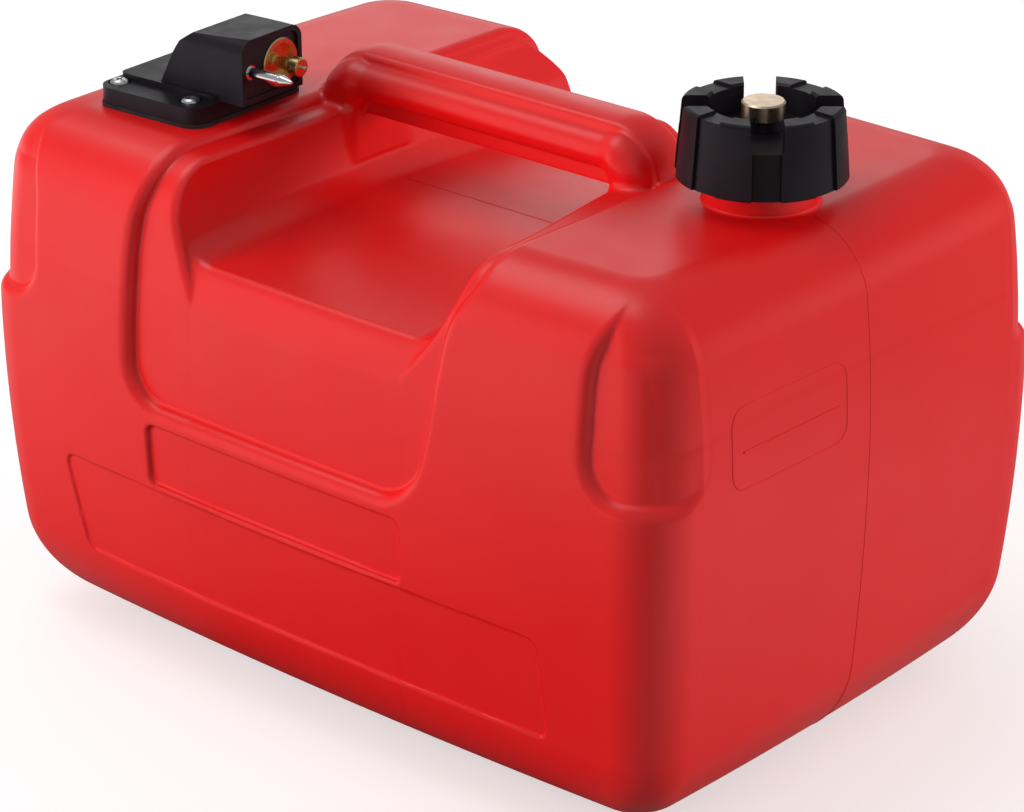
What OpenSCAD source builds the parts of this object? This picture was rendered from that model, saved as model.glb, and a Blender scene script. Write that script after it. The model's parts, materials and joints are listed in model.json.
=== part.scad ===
// Portable fuel tank for an outboard motor, in millimetres.
// The origin is on the floor under the middle of the tank.  +X runs along the handle
// to the filler cap, -Y is the front and +Z is up.

/* [Tank body] */
// Length of the tank along the handle
tank_l = 350; // [340:1:370]
// Width of the tank from front to back
tank_w = 245; // [238:1:260]
// Height of the deck above the floor
deck_z = 213; // [209:1:218]
// Thickness of the moulded wall
wall = 3.2; // [2.6:0.1:3.8]
// Radius of the upright corners
corner_r = 20; // [17:0.5:24]
// Radius between the sides and the base
base_round = 41; // [36:1:44]
// Radius between the sides and the deck
deck_round = 25; // [21:1:27]
// Bulge of the front and back faces
face_crown = 5.3; // [3:0.1:7]
// Bulge of the two ends
end_crown = 3.6; // [2:0.1:5]
// Draw-in of the sides at the base
base_taper = 8.7; // [6:0.1:11]
// Draw-in of the sides at the deck
deck_taper = 7.4; // [5:0.1:9]
// Height of the widest line
waist_z = 128; // [120:1:136]
// Height of the ledge under the corner recesses
ledge_z = 141.5; // [139:0.5:150]
// Depth of the corner recesses
ledge_d = 4; // [2:0.1:5]

/* [Front and back panels] */
// Depth of the upper panel and of the shelf it runs into
panel_d = 5.5; // [4:0.1:6.5]
// Half width of the upper panel where it meets the deck
panel_half = 82; // [78:0.5:86]
// Width that the panel gains on the cap side of the shoulder
panel_flare = 10; // [6:0.5:12]
// Height of the upper panel's lower edge
panel_z = 115; // [111:0.5:120]
// Radius of the upper panel's lower corners
panel_r = 16; // [12:0.5:20]
// Length of the label recess
label_l = 131.5; // [110:0.5:140]
// Height of the label recess
label_h = 25.5; // [18:0.5:27]
// Height of the label recess's lower edge
label_z = 82; // [76:0.5:84]
// Depth of the label recess
label_d = 2.2; // [1.5:0.1:2.6]

/* [Hand hold] */
// Height of the hollow under the handle at its middle
saddle_z = 180.5; // [176:0.5:184]
// How far the hollow falls from the middle to the front
saddle_fall = 17; // [12:0.5:20]
// Half width of the hollow at the deck, in the middle
saddle_half = 62; // [58:0.5:66]
// Half width that the hollow gains towards the front
saddle_flare = 22; // [16:0.5:26]
// Height of the top of the handle
handle_z = 230.6; // [228:0.2:234]
// Height of the handle from its underside to its top
handle_h = 17.8; // [16:0.2:20]
// Width of the grip
grip_w = 34; // [30:0.5:38]
// Width of the raised strip along the grip
spine_w = 19; // [16:0.5:22]
// Height of that strip
spine_h = 4; // [2.5:0.1:5]

/* [Filler neck] */
// Distance of the filler from the end of the tank
neck_inset = 52.1; // [51:0.1:55]
// Outer radius of the neck
neck_r = 20.9; // [19:0.1:21.5]
// Height of the neck above the deck
neck_h = 22; // [21:0.5:24]
// Thickness of the neck's wall
neck_wall = 3.4; // [3:0.1:4]
// Rise of the thread in one turn
neck_pitch = 5; // [4:0.5:6]
// Depth of the thread
thread_d = 1.3; // [1:0.1:1.4]
// Turns of thread on the neck
thread_turns = 1.75; // [1.25:0.25:2]

/* [Filler cap] */
// Outer radius of the cap at its lower edge
cap_r = 31.5; // [30.5:0.1:33]
// Outer radius of the cap at its rim
rim_r = 29.4; // [28.6:0.1:30.2]
// Height of the cap
cap_h = 27.3; // [26:0.1:29]
// Radius of the bowl in the top of the cap
bowl_r = 20; // [18:0.1:21]
// Depth of the bowl
bowl_d = 10.3; // [9:0.1:11]
// Thickness of the bowl's floor
cap_web = 3; // [2.5:0.1:3.2]
// Thickness of the cap's skirt
skirt_t = 2.6; // [2:0.1:3]
// Width of the four gaps in the rim
notch_w = 12; // [9:0.5:14]
// Width of the grooves below the gaps
groove_w = 10.5; // [7:0.5:12]
// Depth of those grooves
groove_d = 1.5; // [0.8:0.1:1.8]
// Direction of the first gap
notch_turn = -49.4; // [-90:0.1:90]
// Width of the dents between the gaps, as an angle
dent_turn = 20; // [14:1:26]
// Depth of the dents
dent_d = 1.2; // [0.6:0.1:1.5]
// Thickness of the cap's gasket
gasket_t = 2; // [1.6:0.1:2.4]

/* [Vent] */
// Radius of the vent knob
knob_r = 7.95; // [7:0.05:8.5]
// Height of the vent knob
knob_h = 6.5; // [5:0.1:7.5]
// Radius of the boss under the knob
boss_r = 6.6; // [6.2:0.1:7]
// Height of the boss
boss_h = 3.8; // [3:0.1:4.5]
// Radius of the vent screw's stem
vent_r = 2.5; // [2.2:0.05:2.8]

/* [Fuel outlet] */
// Distance of the outlet from the other end of the tank
outlet_inset = 64.1; // [62:0.1:67]
// Distance of the outlet from the front of the tank
outlet_depth = 70.7; // [68.5:0.1:73.5]
// Turn of the outlet on the deck
outlet_turn = 3.5; // [0:0.5:4]
// Length of the base plate
plate_l = 52; // [50:0.5:54]
// Width of the base plate
plate_w = 63; // [61:0.5:66]
// Height of the base plate with its gasket
plate_h = 8; // [7:0.1:9]
// Thickness of the outlet gasket
outlet_gasket_t = 1.5; // [1:0.1:2]
// Corner radius of the base plate
plate_r = 7; // [5:0.5:8]
// Height of the step round the hood
step_h = 2; // [1:0.1:2.5]
// Width of the hood
hood_w = 34.4; // [33:0.2:36]
// Height of the hood above the deck
hood_h = 33.3; // [32:0.1:35]
// Radius of the hood's upper edges
hood_r = 6; // [4:0.5:8]
// Distance from the outlet's centre to the mouth of the hood
mouth_x = 37.4; // [36:0.1:39]
// Thickness of the hood's walls
hood_t = 2.2; // [1.8:0.1:2.5]
// Distance between the screws along the plate
screw_gap_x = 37; // [34:0.5:38]
// Distance between the screws across the plate
screw_gap_y = 46.8; // [46:0.2:49]
// Radius of the screws
screw_r = 2.4; // [2:0.05:2.5]
// Radius of the screw heads
screw_head_r = 3.7; // [3.4:0.1:4]

/* [Connector] */
// Height of the connector above the deck
connector_h = 20; // [19:0.1:21]
// Distance of the stem from the middle of the hood
stem_y = 5.2; // [4.6:0.1:5.2]
// Distance of the guide pin from the middle of the hood
guide_y = -11; // [-11.4:0.1:-10.4]
// Radius of the flange round the stem
flange_r = 9.7; // [9:0.1:9.7]
// Depth of the dish in the flange
dish_d = 3.4; // [2.4:0.1:3.8]
// Length of the stem past the mouth
stem_l = 10.4; // [9:0.1:12]
// Radius of the stem
stem_r = 2.4; // [2.3:0.05:2.6]
// Radius of the stem's head
head_r = 3.65; // [3.4:0.05:4]
// Length of the stem's head
head_l = 5.1; // [4.5:0.1:5.5]
// Radius of the guide pin
guide_r = 2.2; // [2:0.05:2.4]
// Length of the guide pin past the mouth
guide_l = 19.6; // [18:0.1:21]
// Travel of the valve
valve_travel = 1.8; // [1.2:0.1:1.9]

/* [Pickup] */
// Radius of the pickup tube
tube_r = 4.8; // [4.5:0.1:5.2]
// Height of the strainer above the inside of the base
strainer_gap = 2; // [1:0.5:4]
// Radius of the strainer
strainer_r = 9; // [8:0.5:11]
// Height of the strainer
strainer_h = 12; // [10:0.5:16]

/* [Clearances] */
// Gap of pieces that are fitted together
fit_gap = 0.05; // [0.03:0.01:0.08]
// Gap of pieces that move past each other
run_gap = 0.4; // [0.35:0.05:0.5]

/* [Hidden] */

red = "#d12323";
black = "#2d2b30";
brass = "#c8a25a";
steel = "#b9bcc0";
rubber = "#1c1c1e";
clear_white = "#e6e2d6";

$fn = 64;
eps = 0.01;
far = 60;                                   // reach of a cut past the tank's faces

half_l = tank_l / 2;
half_w = tank_w / 2;
neck_x = half_l - neck_inset;
outlet_x = -half_l + outlet_inset;
outlet_y = -half_w + outlet_depth;
shelf_z = deck_z - panel_d;
lip_z = deck_z + neck_h;                    // top of the neck
neck_bore = neck_r - neck_wall;
ceiling_z = lip_z + gasket_t;               // underside of the cap's floor
floor_z = ceiling_z + cap_web;              // top of the bowl's floor
rim_z = floor_z + bowl_d;
skirt_z = rim_z - cap_h;                    // lower edge of the cap
cap_bore = neck_r + thread_d + run_gap;     // inside of the cap's threaded ring
ring_t = 2.2;                               // thickness of that ring
leg_x = saddle_half + saddle_flare * grip_w / tank_w;   // inner face of the grip's legs
boss_z = floor_z + boss_h;
knob_gap = 0.3;
insert_r = 3.6;
insert_h = 9;
insert_boss_r = insert_r + 2.4;
plate_z = deck_z + plate_h;
step_z = plate_z + step_h;
axis_z = deck_z + connector_h;
face_x = mouth_x - 1;                       // face of the wall that holds the connector
face_t = 5.5;
face_back = face_x - face_t;
flange_t = 4.6;
flange_back = mouth_x - flange_t;
dish_r = flange_r - 2.1;
dish_x = mouth_x - dish_d;
barrel_r = 6.5;
nut_t = 4;
nut_r = 9.2;                                // across the corners of the flange's nut
barrel_back = face_back - nut_t - 1;
tail_r = 3.2;
tail_l = 9;
tail_x = barrel_back - tail_l;
way_r = 1;                                  // fuel way behind the valve
socket_x = face_back - 2;                   // floor of the stem's socket
socket_r = stem_r + 0.9;
collar_l = 1.2;
stem_tip = mouth_x + stem_l;
head_back = stem_tip - head_l;
stem_bore = stem_r - 0.8;
seat_x = head_back + 0.6;                   // shoulder that the valve closes on
throat_r = stem_bore - 0.55;
cross_x = head_back + 1.55;
cross_r = 0.85;
tip_r = 0.8;
tip_t = 1;
rod_r = tip_r - 0.08;
rod_out = 2;
seal_t = 0.5;
poppet_t = 0.8;
poppet_x = seat_x - seal_t - poppet_t;
slack = 0.3;                                // gap of the poppet in the stem
wire_r = 0.2;
spring_turns = 8;
spring_r = stem_bore - 0.2 - wire_r;
guide_root_r = guide_r - 0.3;
guide_collar_r = guide_r + 0.7;
guide_collar_t = 0.8;
guide_nut_t = 3;
guide_nut_r = 4;
guide_tip = mouth_x + guide_l;
guide_cone = 5;
hose_t = 1.9;
hose_r = tail_r + fit_gap + hose_t;
hose_bend = 8;
hose_grip = 6;                              // length of hose on the flange's tail
bend_x = tail_x - 1;
fitting_x = bend_x - hose_bend;
fitting_t = 2.2;
fitting_r = 9;
bush_wall = 1.5;
shank_r = 4.6;
deck_hole_r = shank_r + bush_wall + 2 * fit_gap;
shank_l = wall + 1.5;
barb_l = 9;
tube_top = deck_z - shank_l - 1;
strainer_z = wall + strainer_gap;
strainer_t = 2;
seat_h = 0.5;                               // height of the tube's seat on the strainer
strainer_top = strainer_z + strainer_h;
socket_l = 6;
clip_t = 0.8;
clip_w = 4;
pocket_l = plate_l - 9;                     // hollow under the base plate
pocket_w = hood_w - 2 * hood_t - 0.8;
hood_back = -4.6;
hood_lean = 10;
hood_fall = 1.3;                            // fall of the roof from the mouth to the back
screw_shift = -2.3;                         // the screws sit a little behind the centre
sink_d = 1.2;                               // depth of the screw heads' seats
head_h = 2.4;
bush_r = boss_r - 1.6;
bush_flange_r = bush_r + 1.5;
bush_flange_t = 1.2;
ring_z = skirt_z + 1.5;
thread_w = 2;                               // width of a thread at its root
thread_tip_w = 1;
thread_z = lip_z - 1.8 - thread_turns * neck_pitch;
thread_lag = 1.65;                          // the cap's thread hangs this far under the neck's
cap_thread_turn = -150;
cap_thread_turns = 1.25;
vent_pitch = 1;
vent_turns = 2;

// ---- helpers ---------------------------------------------------------------------------

// Draw-in of a rounded edge of radius r at distance d from the flat it ends in
function edge(r, d) = d >= r ? 0 : r - sqrt(max(0, r * r - (r - d) * (r - d)));

// Draw-in of the sides by the mould's taper at height z
function taper(z) = z < waist_z ? base_taper * pow((waist_z - z) / waist_z, 2)
    : deck_taper * pow((z - waist_z) / (deck_z - waist_z), 2);

// Draw-in of the outside, or of the surface g inside it, at height z
function draw_in(z, g) = taper(z) + g + edge(base_round - g, z - g)
    + edge(deck_round - g, deck_z - g - z);

end_steps = [0, 0.3, 0.6, 0.85, 0.97];
face_steps = [0.98, 0.85, 0.65, 0.45, 0.22, 0];

// Depth of the corner recesses at height z: they start at the ledge and run out on the deck
function recess(z, g) = z < ledge_z ? 0 : ledge_d * min(1, (deck_z - g - z) / (0.6 * deck_round));

// One quarter of the tank's outline at height z, g inside the surface
function quarter(z, g) =
    let (e = draw_in(z, g), a = half_l - e, b = half_w - e,
         r = max(corner_r - e * 0.3, 5), s = recess(z, g),
         cx = a - end_crown - r, cy = b - face_crown - r)
    concat([for (u = end_steps) [a - end_crown * u * u, u * cy, z]],
           [for (t = [0:15:90]) [cx + (r - s) * cos(t), cy + (r - s) * sin(t), z]],
           [for (v = face_steps) [v * cx, b - face_crown * v * v, z]]);

function flip_x(p) = [-p[0], p[1], p[2]];
function half_turn(p) = [-p[0], -p[1], p[2]];

// The whole outline, anticlockwise from above
function outline(z, g) =
    let (q = quarter(z, g), n = len(q) - 1,
         first = [for (i = [0:n - 1]) q[i]], second = [for (i = [n:-1:1]) flip_x(q[i])])
    concat(first, second, [for (p = first) half_turn(p)], [for (p = second) half_turn(p)]);

// Heights of the outlines, close together where the edges are round
function levels(g) = concat(
    [for (t = [0:15:90]) g + (base_round - g) * (1 - cos(t))],
    [for (k = [1:2]) base_round + k * (waist_z - base_round) / 3],
    [waist_z, ledge_z - 0.8, ledge_z + 0.8, (ledge_z + deck_z - deck_round) / 2],
    [for (t = [0:15:90]) deck_z - deck_round + (deck_round - g) * sin(t)]);

// A closed skin through a list of rings that have as many points each
module skin(rings) {
    n = len(rings[0]);
    m = len(rings);
    points = [for (r = rings, p = r) p];
    side = [for (j = [0:m - 2], i = [0:n - 1], h = [0, 1])
        let (k = (i + 1) % n, a = j * n + i, b = j * n + k, c = a + n, d = b + n)
        h == 0 ? [a, c, b] : [b, c, d]];
    polyhedron(points, concat(side, [[for (i = [0:n - 1]) i]],
        [[for (i = [n - 1:-1:0]) (m - 1) * n + i]]), convexity = 6);
}

// The tank's outer form, or the form g inside it
module tank_form(g) {
    skin([for (z = levels(g)) outline(z, g)]);
}

// Draws a flat outline of X and Z through the tank from y0 to y1
module along_y(y0, y1) {
    translate([0, y1, 0])
        rotate([90, 0, 0])
            linear_extrude(y1 - y0, convexity = 4)
                children();
}

// Draws a flat outline of Y and Z from x0 to x1
module along_x(x0, x1) {
    translate([x0, 0, 0])
        rotate([90, 0, 90])
            linear_extrude(x1 - x0, convexity = 4)
                children();
}

// A round body on the X axis from outlines of distance and radius
module lathe_x() {
    rotate([0, 90, 0])
        rotate_extrude()
            children();
}

module bar_x(r, x0, x1) {
    translate([x0, 0, 0])
        rotate([0, 90, 0])
            cylinder(r = r, h = x1 - x0);
}

module both_sides() {
    children();
    mirror([0, 1, 0])
        children();
}

module rounded_square(l, w, r) {
    square([l - 2 * r, w], center = true);
    square([l, w - 2 * r], center = true);
    for (x = [-1, 1], y = [-1, 1])
        translate([x * (l / 2 - r), y * (w / 2 - r)])
            circle(r = r);
}

module ring(r_out, r_in, h) {
    difference() {
        cylinder(r = r_out, h = h);
        translate([0, 0, -eps])
            cylinder(r = r_in, h = h + 2 * eps);
    }
}

// ---- tank ------------------------------------------------------------------------------

// Front outline of the upper panel, g outside its edge
module panel_outline(g) {
    r = panel_r;
    left = -panel_half - g;
    low = panel_z - g;
    right = panel_half - panel_r - 12;
    polygon(concat(
        [[left, deck_z + far]],
        [for (t = [180:15:270]) [-panel_half + r + (r + g) * cos(t), panel_z + r + (r + g) * sin(t)]],
        [for (t = [270:15:345]) [right + (r + g) * cos(t), panel_z + r + (r + g) * sin(t)]],
        [[panel_half - 7 + g, panel_z + 35], [panel_half - 1 + g, panel_z + 66],
         [panel_half + panel_flare + g, deck_z - 12], [panel_half + panel_flare + g, deck_z + far]]));
}

// Everything outside the surface that lies d behind the front face and the deck
module front_zone(d) {
    zs = concat([for (k = [0:5]) 40 + k * (deck_z - deck_round - 40) / 5],
                [for (t = [20:20:80]) deck_z - deck_round + (deck_round - d) * sin(t)]);
    polygon(concat(
        [for (z = zs) [-(half_w - draw_in(z, 0) - d - edge_shift(z, d)), z]],
        [[-half_w + deck_round + deck_taper + d, deck_z - d], [eps, deck_z - d],
         [eps, deck_z + far], [-half_w - far, deck_z + far], [-half_w - far, 40]]));
}

// Keeps the rounded edge true when its surface moves in by d
function edge_shift(z, d) = edge(deck_round - d, deck_z - d - z) - edge(deck_round, deck_z - z);

module panel_cut(g) {
    both_sides()
        intersection() {
            along_y(-half_w - far / 2, eps)
                panel_outline(g);
            along_x(-half_l, half_l)
                front_zone(panel_d + g);
        }
}

module label_cut() {
    both_sides()
        intersection() {
            along_y(-half_w - far / 2, -half_w / 2)
                translate([-10, label_z + label_h / 2])
                    rounded_square(label_l, label_h, 4);
            along_x(-half_l, half_l)
                front_zone(label_d);
        }
}

// Outline of the hollow under the handle at distance y from the middle, g outside it
function saddle_ring(y, g) =
    let (t = abs(y) / half_w, w = saddle_half + saddle_flare * t + g,
         low = saddle_z - saddle_fall * t * t - g, top = shelf_z + 1)
    concat([[w + 3, y, deck_z + far]],
           [for (a = [0:15:180])
               let (c = pow(abs(cos(a)), 0.8) * sign(cos(a)), s = pow(max(sin(a), 0), 0.8))
               [w * c, y, top - (top - low) * s]],
           [[-w - 3, y, deck_z + far]]);

module saddle_cut(g) {
    skin([for (k = [-6:6]) saddle_ring(k * (half_w + 8) / 6, g)]);
}

// Side outline of the grip and its legs, with its top dz below the handle's top
module grip_outline(dz, g, foot) {
    top = handle_z - dz - g;
    reach = saddle_half + 22 - g;
    polygon([[-reach, foot], [-reach, shelf_z + 2], [-reach + 2.5, shelf_z + 7 - g], [-reach + 10, top - 6],
             [-reach + 16, top - 2], [-reach + 23, top], [reach - 23, top], [reach - 16, top - 2],
             [reach - 10, top - 6], [reach - 2.5, shelf_z + 7 - g], [reach, shelf_z + 2], [reach, foot]]);
}

// The hollow bar between two legs that stand on the shelf, g inside its surface
module grip(w, dz, g, foot) {
    low = handle_z - handle_h;
    high = handle_z - dz;
    round_r = (high - low) / 2 - g - 1.2;
    intersection() {
        along_y(-w / 2 + g, w / 2 - g)
            grip_outline(dz, g, foot);
        along_x(-half_l, half_l)
            translate([0, (low + high) / 2])
                rounded_square(w - 2 * g, high - low - 2 * g, round_r);
    }
    for (x = [-1, 1])
        intersection() {
            along_y(-w / 2 + g, w / 2 - g)
                intersection() {
                    grip_outline(dz, g, foot);
                    translate([x * (leg_x + half_l) + (x < 0 ? -g : g), handle_z])
                        square([2 * half_l, 4 * handle_h], center = true);
                }
            along_x(-half_l, half_l)
                translate([0, high - g - handle_h])
                    rounded_square(w - 2 * g, 2 * handle_h, round_r);
        }
}

module spine() {
    intersection() {
        along_y(-spine_w / 2, spine_w / 2)
            grip_outline(0, 0, shelf_z);
        along_x(-half_l, half_l)
            translate([0, handle_z - handle_h / 2 + 1])
                rounded_square(spine_w, handle_h - 2, 3);
    }
}

// A thread on the Z axis from root radius r0 to tip radius r1.  It rises from z0 at angle a0.
module thread(r0, r1, z0, a0, turns) {
    steps = 24;
    count = round(turns * steps);
    inward = r1 < r0;
    skin([for (i = [0:count])
        let (a = a0 + i * 360 / steps, z = z0 + i * neck_pitch / steps,
             f = min(1, i / 4 + 0.05, (count - i) / 4 + 0.05), tip = r0 + (r1 - r0) * f,
             ring = [[r0, z - thread_w / 2], [tip, z - thread_tip_w / 2],
                     [tip, z + thread_tip_w / 2], [r0, z + thread_w / 2]])
        [for (k = [0:3]) let (q = ring[inward ? k : 3 - k]) [q[0] * cos(a), q[0] * sin(a), q[1]]]]);
}

module place_neck() {
    translate([neck_x, 0, 0])
        children();
}

module place_outlet() {
    translate([outlet_x, outlet_y, 0])
        rotate([0, 0, outlet_turn])
            children();
}

module place_screws() {
    for (x = [-1, 1], y = [-1, 1])
        translate([screw_shift + x * screw_gap_x / 2, y * screw_gap_y / 2, 0])
            children();
}

module tank_void() {
    difference() {
        tank_form(wall);
        panel_cut(wall);
        saddle_cut(wall);
        place_outlet()
            place_screws()
                translate([0, 0, deck_z - insert_h - wall])
                    cylinder(r = insert_boss_r, h = far);
    }
    grip(grip_w, spine_h, wall, shelf_z - wall - 1);
}

// The grip and its legs down to the shelf, with the raised strip
module handle_form() {
    grip(grip_w, spine_h, 0, shelf_z);
    spine();
}

module tank_shell() {
    color(red)
        difference() {
            tank_form(0);
            panel_cut(0);
            label_cut();
            saddle_cut(0);
            handle_form();
            tank_void();
            place_neck()
                translate([0, 0, deck_z - 2 * wall])
                    cylinder(r = neck_bore, h = far);
            place_outlet() {
                translate([fitting_x, stem_y, deck_z - 2 * wall])
                    cylinder(r = deck_hole_r, h = far);
                place_screws()
                    translate([0, 0, deck_z - insert_h])
                        cylinder(r = insert_r + fit_gap, h = far);
            }
        }
}

// The handle is moulded with the shell and open into it at its legs
module carry_handle() {
    color(red)
        difference() {
            handle_form();
            grip(grip_w, spine_h, wall, shelf_z - 1);
        }
}

// The neck is moulded with the shell, round the hole in the deck
module filler_neck() {
    color(red)
        place_neck()
            difference() {
                union() {
                    translate([0, 0, deck_z])
                        cylinder(r = neck_r, h = neck_h);
                    thread(neck_r - 0.3, neck_r + thread_d, thread_z, 0, thread_turns);
                }
                translate([0, 0, deck_z - 1])
                    cylinder(r = neck_bore, h = far);
            }
}

// ---- fuel outlet -----------------------------------------------------------------------

module outlet_inserts() {
    color(brass)
        place_outlet()
            place_screws()
                translate([0, 0, deck_z - insert_h])
                    ring(insert_r, screw_r + fit_gap, insert_h);
}

module outlet_gasket() {
    color(rubber)
        place_outlet()
            translate([0, 0, deck_z])
                difference() {
                    linear_extrude(outlet_gasket_t)
                        rounded_square(plate_l + 1, plate_w + 1, plate_r + 0.5);
                    translate([0, 0, -eps]) {
                        linear_extrude(outlet_gasket_t + 2 * eps)
                            rounded_square(pocket_l, pocket_w, 3);
                        place_screws()
                            cylinder(r = screw_r + run_gap, h = outlet_gasket_t + 2 * eps);
                    }
                }
}

// Side outline of the hood, g inside its outside, as far as x1
module hood_side(g, x1) {
    top = deck_z + hood_h - g;
    back = hood_back + g * 1.15;
    polygon([[back - 0.5, plate_z + g], [back, step_z + g], [back + 0.68 * hood_lean, top - 10],
             [back + 1.03 * hood_lean, top - 5], [back + 1.55 * hood_lean, top - hood_fall],
             [x1, top], [x1, plate_z + g]]);
}

// Front outline of the hood, g inside its outside
module hood_front(g) {
    w = hood_w - 2 * g;
    top = deck_z + hood_h - g;
    r = hood_r - g;
    translate([-w / 2, plate_z - 1])
        square([w, top - r - plate_z + 1]);
    translate([-w / 2 + r, plate_z - 1])
        square([w - 2 * r, top - plate_z + 1]);
    for (y = [-1, 1])
        translate([y * (w / 2 - r), top - r])
            circle(r = r);
}

module hood_form(g, x1) {
    intersection() {
        along_y(-hood_w / 2, hood_w / 2)
            hood_side(g, x1);
        along_x(-plate_l, mouth_x + 1)
            hood_front(g);
    }
}

module outlet_housing() {
    color(black)
        place_outlet()
            difference() {
                union() {
                    translate([0, 0, deck_z + outlet_gasket_t])
                        linear_extrude(plate_h - outlet_gasket_t)
                            rounded_square(plate_l, plate_w, plate_r);
                    translate([0, 0, plate_z - 1])
                        linear_extrude(step_h + 1)
                            rounded_square(plate_l - 1.6, hood_w + 3.2, 3);
                    hood_form(0, mouth_x);
                }
                hood_form(hood_t, face_back);
                difference() {
                    hood_form(hood_t, mouth_x + 1);
                    translate([-plate_l, -plate_w, 0])
                        cube([plate_l + face_x, 2 * plate_w, far + deck_z]);
                }
                translate([0, 0, deck_z])
                    linear_extrude(plate_h - 1)
                        rounded_square(pocket_l, pocket_w, 3);
                translate([0, 0, deck_z])
                    linear_extrude(plate_h + 3)
                        translate([fitting_x, stem_y])
                            circle(r = hose_r + 1.2);
                translate([fitting_x, -pocket_w / 2, deck_z])
                    cube([pocket_l / 2 - fitting_x, pocket_w, plate_h + 3]);
                place_screws() {
                    cylinder(r = screw_r + run_gap, h = deck_z + far);
                    translate([0, 0, plate_z - sink_d])
                        cylinder(r = screw_head_r + 0.7, h = far);
                }
                translate([0, stem_y, axis_z]) {
                    bar_x(barrel_r + fit_gap, face_back - 1, mouth_x);
                    bar_x(flange_r + fit_gap, flange_back, mouth_x + 1);
                }
                translate([0, guide_y, axis_z]) {
                    bar_x(guide_root_r + fit_gap, face_back - 1, mouth_x);
                    bar_x(guide_collar_r + fit_gap, face_x - guide_collar_t, mouth_x);
                }
            }
}

module housing_screws() {
    reach = deck_z - insert_h + 1;
    seat = plate_z - sink_d;
    color(steel)
        place_outlet()
            place_screws()
                difference() {
                    rotate_extrude()
                        polygon([[0, reach], [screw_r - 0.6, reach], [screw_r, reach + 0.8],
                                 [screw_r, seat], [screw_head_r, seat],
                                 [screw_head_r, seat + head_h - 1.2], [screw_head_r - 0.5, seat + head_h - 0.5],
                                 [screw_head_r - 1.5, seat + head_h], [0, seat + head_h]]);
                    for (a = [0, 90])
                        rotate([0, 0, a])
                            translate([-screw_head_r / 2, -0.45, seat + head_h - 1.1])
                                cube([screw_head_r, 0.9, 2]);
                }
}

// ---- connector -------------------------------------------------------------------------

module place_stem() {
    place_outlet()
        translate([0, stem_y, axis_z])
            children();
}

module place_guide() {
    place_outlet()
        translate([0, guide_y, axis_z])
            children();
}

module connector_flange() {
    color(brass)
        place_stem()
            lathe_x()
                polygon([[way_r, tail_x], [tail_r - 0.4, tail_x], [tail_r, tail_x + 1.2],
                         [tail_r, barrel_back], [barrel_r, barrel_back], [barrel_r, flange_back],
                         [flange_r, flange_back], [flange_r, mouth_x - 0.4], [flange_r - 0.4, mouth_x],
                         [dish_r, mouth_x], [dish_r - 0.5, dish_x], [socket_r, dish_x],
                         [socket_r, socket_x], [way_r, socket_x]]);
}

module flange_nut() {
    color(brass)
        place_stem()
            difference() {
                translate([face_back - nut_t, 0, 0])
                    rotate([0, 90, 0])
                        cylinder(r = nut_r, h = nut_t, $fn = 6);
                bar_x(barrel_r + fit_gap, face_back - nut_t - 1, face_back + 1);
            }
}

module fuel_stem() {
    color(brass)
        place_stem()
            difference() {
                lathe_x()
                    polygon([[stem_bore, socket_x], [socket_r - fit_gap, socket_x],
                             [socket_r - fit_gap, dish_x + collar_l], [stem_r, dish_x + collar_l],
                             [stem_r, head_back], [head_r, head_back + 0.5],
                             [head_r, stem_tip - 0.4], [head_r - 0.4, stem_tip],
                             [tip_r, stem_tip], [tip_r, stem_tip - tip_t],
                             [throat_r, stem_tip - tip_t], [throat_r, seat_x], [stem_bore, seat_x]]);
                translate([cross_x, 0, 0])
                    for (a = [0, 90])
                        rotate([a, 0, 0])
                            cylinder(r = cross_r, h = 4 * head_r, center = true);
            }
}

module valve_pin() {
    color(steel)
        place_stem()
            lathe_x()
                polygon([[0, socket_x + valve_travel + 0.7], [rod_r, socket_x + valve_travel + 0.7],
                         [rod_r, poppet_x], [stem_bore - slack, poppet_x],
                         [stem_bore - slack, poppet_x + poppet_t], [rod_r, poppet_x + poppet_t],
                         [rod_r, stem_tip + rod_out - 0.3], [rod_r - 0.3, stem_tip + rod_out],
                         [0, stem_tip + rod_out]]);
}

module valve_seal() {
    color(rubber)
        place_stem()
            lathe_x()
                translate([rod_r + fit_gap, seat_x - seal_t])
                    square([stem_bore - slack - rod_r - fit_gap, seal_t]);
}

module valve_spring() {
    x0 = socket_x + wire_r + 0.05;
    x1 = poppet_x - wire_r - 0.05;
    steps = spring_turns * 12;
    color(steel)
        place_stem()
            skin([for (i = [0:steps])
                let (a = i * 30, x = x0 + (x1 - x0) * i / steps)
                [for (k = [0:5])
                    let (r = spring_r + wire_r * cos(60 * k))
                    [x - wire_r * sin(60 * k), r * cos(a), r * sin(a)]]]);
}

module guide_pin() {
    groove_x = guide_tip - guide_cone - 1.6;
    color(steel)
        place_guide()
            lathe_x()
                polygon([[0, face_back - guide_nut_t - 1], [guide_root_r, face_back - guide_nut_t - 1],
                         [guide_root_r, face_x - guide_collar_t], [guide_collar_r, face_x - guide_collar_t],
                         [guide_collar_r, face_x], [guide_r, face_x], [guide_r, groove_x],
                         [guide_r - 0.5, groove_x + 0.3], [guide_r - 0.5, groove_x + 0.8],
                         [guide_r, groove_x + 1.1], [guide_r, guide_tip - guide_cone],
                         [0.7, guide_tip - 0.4], [0.4, guide_tip], [0, guide_tip]]);
}

module guide_pin_nut() {
    color(steel)
        place_guide()
            difference() {
                translate([face_back - guide_nut_t, 0, 0])
                    rotate([0, 90, 0])
                        cylinder(r = guide_nut_r, h = guide_nut_t, $fn = 6);
                bar_x(guide_root_r + fit_gap, face_back - guide_nut_t - 1, face_back + 1);
            }
}

// ---- fuel line and pickup --------------------------------------------------------------

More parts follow.
